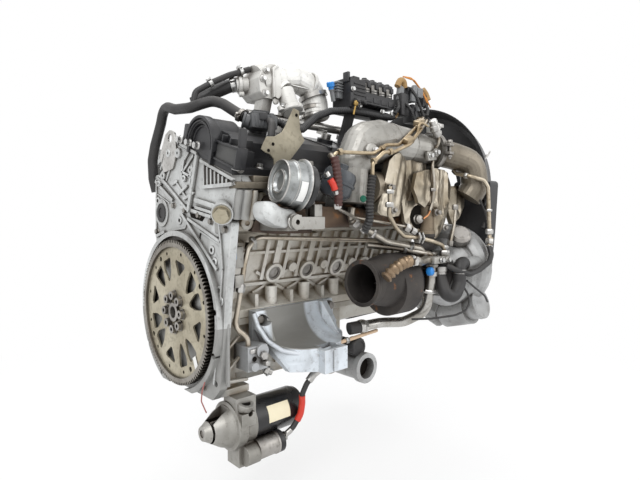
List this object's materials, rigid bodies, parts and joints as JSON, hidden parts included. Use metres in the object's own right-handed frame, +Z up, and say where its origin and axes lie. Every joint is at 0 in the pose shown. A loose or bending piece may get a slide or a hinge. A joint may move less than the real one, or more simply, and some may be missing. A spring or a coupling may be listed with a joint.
{
  "type": "car engine",
  "caption": "Inline diesel car engine with two-stage turbocharging, flexplate with ring gear, support arm, starter, belt drive and pipework.",
  "frame": {"origin": "on the crankshaft axis at the rear face of the crank spigot and ring gear", "axes": "+X along the crankshaft from the flexplate to the belt end, +Z up as the engine sits in the car, -Y the exhaust side"},
  "size_m": [0.7319, 0.6139, 0.8019],
  "materials": {
    "cast_aluminium": "as-cast, matt, a little stained",
    "block_metal": "as-cast, dusty",
    "bright_aluminium": "smooth, satin",
    "steel": "dull machined steel",
    "ring_gear_steel": "dark hardened steel",
    "zinc_gold": "yellow zinc plate, matt",
    "steel_pipe": "satin steel tube",
    "bronze_pipe": "yellow zinc plated tube",
    "turbo_iron": "heat stained, rusty",
    "shield_sheet": "embossed sheet, heat tinted",
    "black_plastic": "moulded, fine grain",
    "black_paint": "gloss black paint",
    "black_rubber": "matt"
  },
  "bodies": {
    "engine": {"cylinder_block": "block_metal", "core_plugs": "steel", "rear_timing_case": "cast_aluminium", "rear_plug": "black_rubber", "oil_pan": "cast_aluminium", "axle_tube": "block_metal", "axle_cap": "black_rubber", "cylinder_head": "cast_aluminium", "chain_tensioner": "zinc_gold", "valve_cover": "black_plastic", "cover_bolts": "steel", "fuel_rail": "steel", "breather_hose": "black_rubber", "wiring_harness": "black_rubber", "lifting_eyes": "steel", "intake_manifold": "black_plastic", "throttle_body": "cast_aluminium", "egr_duct": "cast_aluminium", "solenoid_bank": "black_plastic", "exhaust_manifold": "turbo_iron", "small_turbo": "turbo_iron", "charge_elbow": "bright_aluminium", "charge_pipe": "bright_aluminium", "heat_shield_rear": "shield_sheet", "heat_shield_front": "shield_sheet", "large_turbine_housing": "turbo_iron", "large_compressor_housing": "bright_aluminium", "intake_duct": "black_plastic", "vacuum_canister": "bright_aluminium", "canister_bracket": "cast_aluminium", "bypass_actuator": "black_plastic", "coolant_pipes": "steel_pipe", "oil_pipes": "bronze_pipe", "vacuum_pipes": "black_rubber", "coolant_hoses": "black_rubber", "hose_clamps": "steel", "support_arm": "cast_aluminium", "arm_bolts": "steel", "drain_valve": "cast_aluminium", "starter_housing": "cast_aluminium", "starter_motor": "black_paint", "starter_cable": "black_rubber", "drive_belt": "black_rubber", "alternator": "block_metal", "ac_compressor": "cast_aluminium"},
    "crank": {"crankshaft": "steel", "flexplate": "zinc_gold", "ring_gear": "ring_gear_steel", "crank_bolts": "steel", "damper_pulley": "steel"},
    "alternator_rotor": {"alternator_pulley": "steel"},
    "ac_rotor": {"ac_pulley": "steel"},
    "tensioner": {"tensioner_arm": "cast_aluminium"},
    "tensioner_wheel": {"tensioner_pulley": "black_plastic"},
    "turbo_rotor": {"large_rotor": "steel"},
    "actuator_rod": {"canister_rod": "steel"},
    "actuator_lever": {"canister_lever": "steel"},
    "throttle": {"throttle_flap": "steel"},
    "oil_cap": {"filler_cap": "black_plastic"},
    "pinion": {"starter_pinion": "steel"}
  },
  "joints": [
    {"name": "crank_turn", "type": "hinge", "parent": "engine", "child": "crank", "pos_m": [0.3, 0, 0], "axis": [1, 0, 0], "continuous": true},
    {"name": "alternator_turn", "type": "hinge", "parent": "engine", "child": "alternator_rotor", "pos_m": [0.656, 0.168, 0.14], "axis": [1, 0, 0], "continuous": true},
    {"name": "ac_turn", "type": "hinge", "parent": "engine", "child": "ac_rotor", "pos_m": [0.656, 0.15, -0.07], "axis": [1, 0, 0], "continuous": true},
    {"name": "tensioner_swing", "type": "hinge", "parent": "engine", "child": "tensioner", "pos_m": [0.645, -0.02, 0.14], "axis": [-1, 0, 0], "range_deg": [0, 12]},
    {"name": "tensioner_wheel_turn", "type": "hinge", "parent": "tensioner", "child": "tensioner_wheel", "pos_m": [0.656, 0.036, 0.168], "axis": [1, 0, 0], "continuous": true},
    {"name": "turbo_turn", "type": "hinge", "parent": "engine", "child": "turbo_rotor", "pos_m": [0.48, -0.262, 0.058], "axis": [1, 0, 0], "continuous": true},
    {"name": "rod_slide", "type": "slide", "parent": "engine", "child": "actuator_rod", "axis": [-1, 0, 0], "range_m": [0, 0.012]},
    {"name": "lever_turn", "type": "hinge", "parent": "engine", "child": "actuator_lever", "pos_m": [0.15, -0.25, 0.194], "axis": [0, -1, 0], "range_deg": [0, 14.95]},
    {"name": "throttle_turn", "type": "hinge", "parent": "engine", "child": "throttle", "pos_m": [0.072, 0.15, 0.288], "axis": [0, 0, 1], "range_deg": [0, 85]},
    {"name": "oil_cap_turn", "type": "hinge", "parent": "engine", "child": "oil_cap", "pos_m": [0.44, -0.06077, 0.38333], "axis": [0, -0.342, 0.9397], "range_deg": [0, 90]},
    {"name": "pinion_turn", "type": "hinge", "parent": "engine", "child": "pinion", "pos_m": [0.03, -0.126, -0.205], "axis": [1, 0, 0], "continuous": true}
  ],
  "couplings": [
    {"joint": "alternator_turn", "follows": "crank_turn", "ratio": 2.5862},
    {"joint": "ac_turn", "follows": "crank_turn", "ratio": 1.3393},
    {"joint": "tensioner_wheel_turn", "follows": "crank_turn", "ratio": 2.2059},
    {"joint": "lever_turn", "follows": "rod_slide", "rad_per_m": 21.739}
  ]
}
